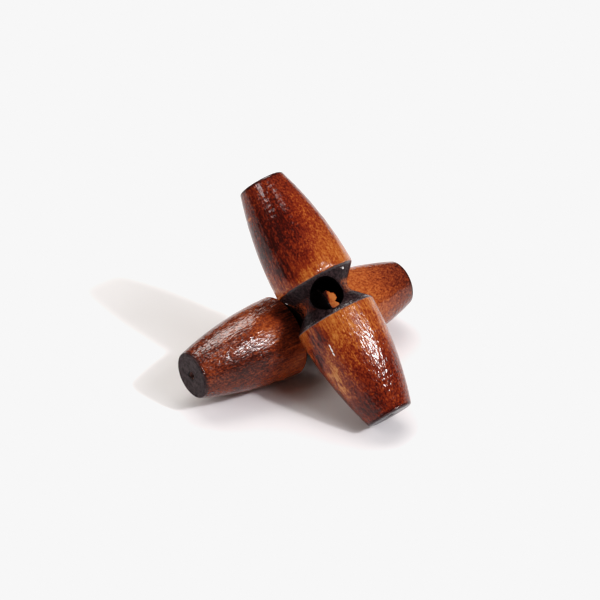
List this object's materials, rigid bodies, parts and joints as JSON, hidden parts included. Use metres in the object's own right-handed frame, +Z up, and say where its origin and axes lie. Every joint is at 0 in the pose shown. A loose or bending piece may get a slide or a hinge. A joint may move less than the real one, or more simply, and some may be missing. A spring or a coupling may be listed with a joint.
{
  "type": "sew-on toggle buttons",
  "caption": "Turned wooden sew-on toggles, barrel-shaped with a waist groove and a cross-drilled thread hole, one leaning across the other.",
  "frame": {"origin": "on the surface that both toggles rest on, under the middle of the pair's bounding box", "axes": "+X along the lower toggle, +Z up, +Y towards the upper toggle's raised end"},
  "size_m": [0.04, 0.0348, 0.0311],
  "materials": {
    "stained_wood": "glossy lacquer over red-brown stain"
  },
  "bodies": {
    "lower_toggle": {"lower_toggle": "stained_wood"},
    "upper_toggle": {"upper_toggle": "stained_wood"}
  },
  "joints": [
    {"name": "lift_off", "type": "slide", "parent": "lower_toggle", "child": "upper_toggle", "axis": [0, 0, 1], "range_m": [0, 0.03]}
  ]
}
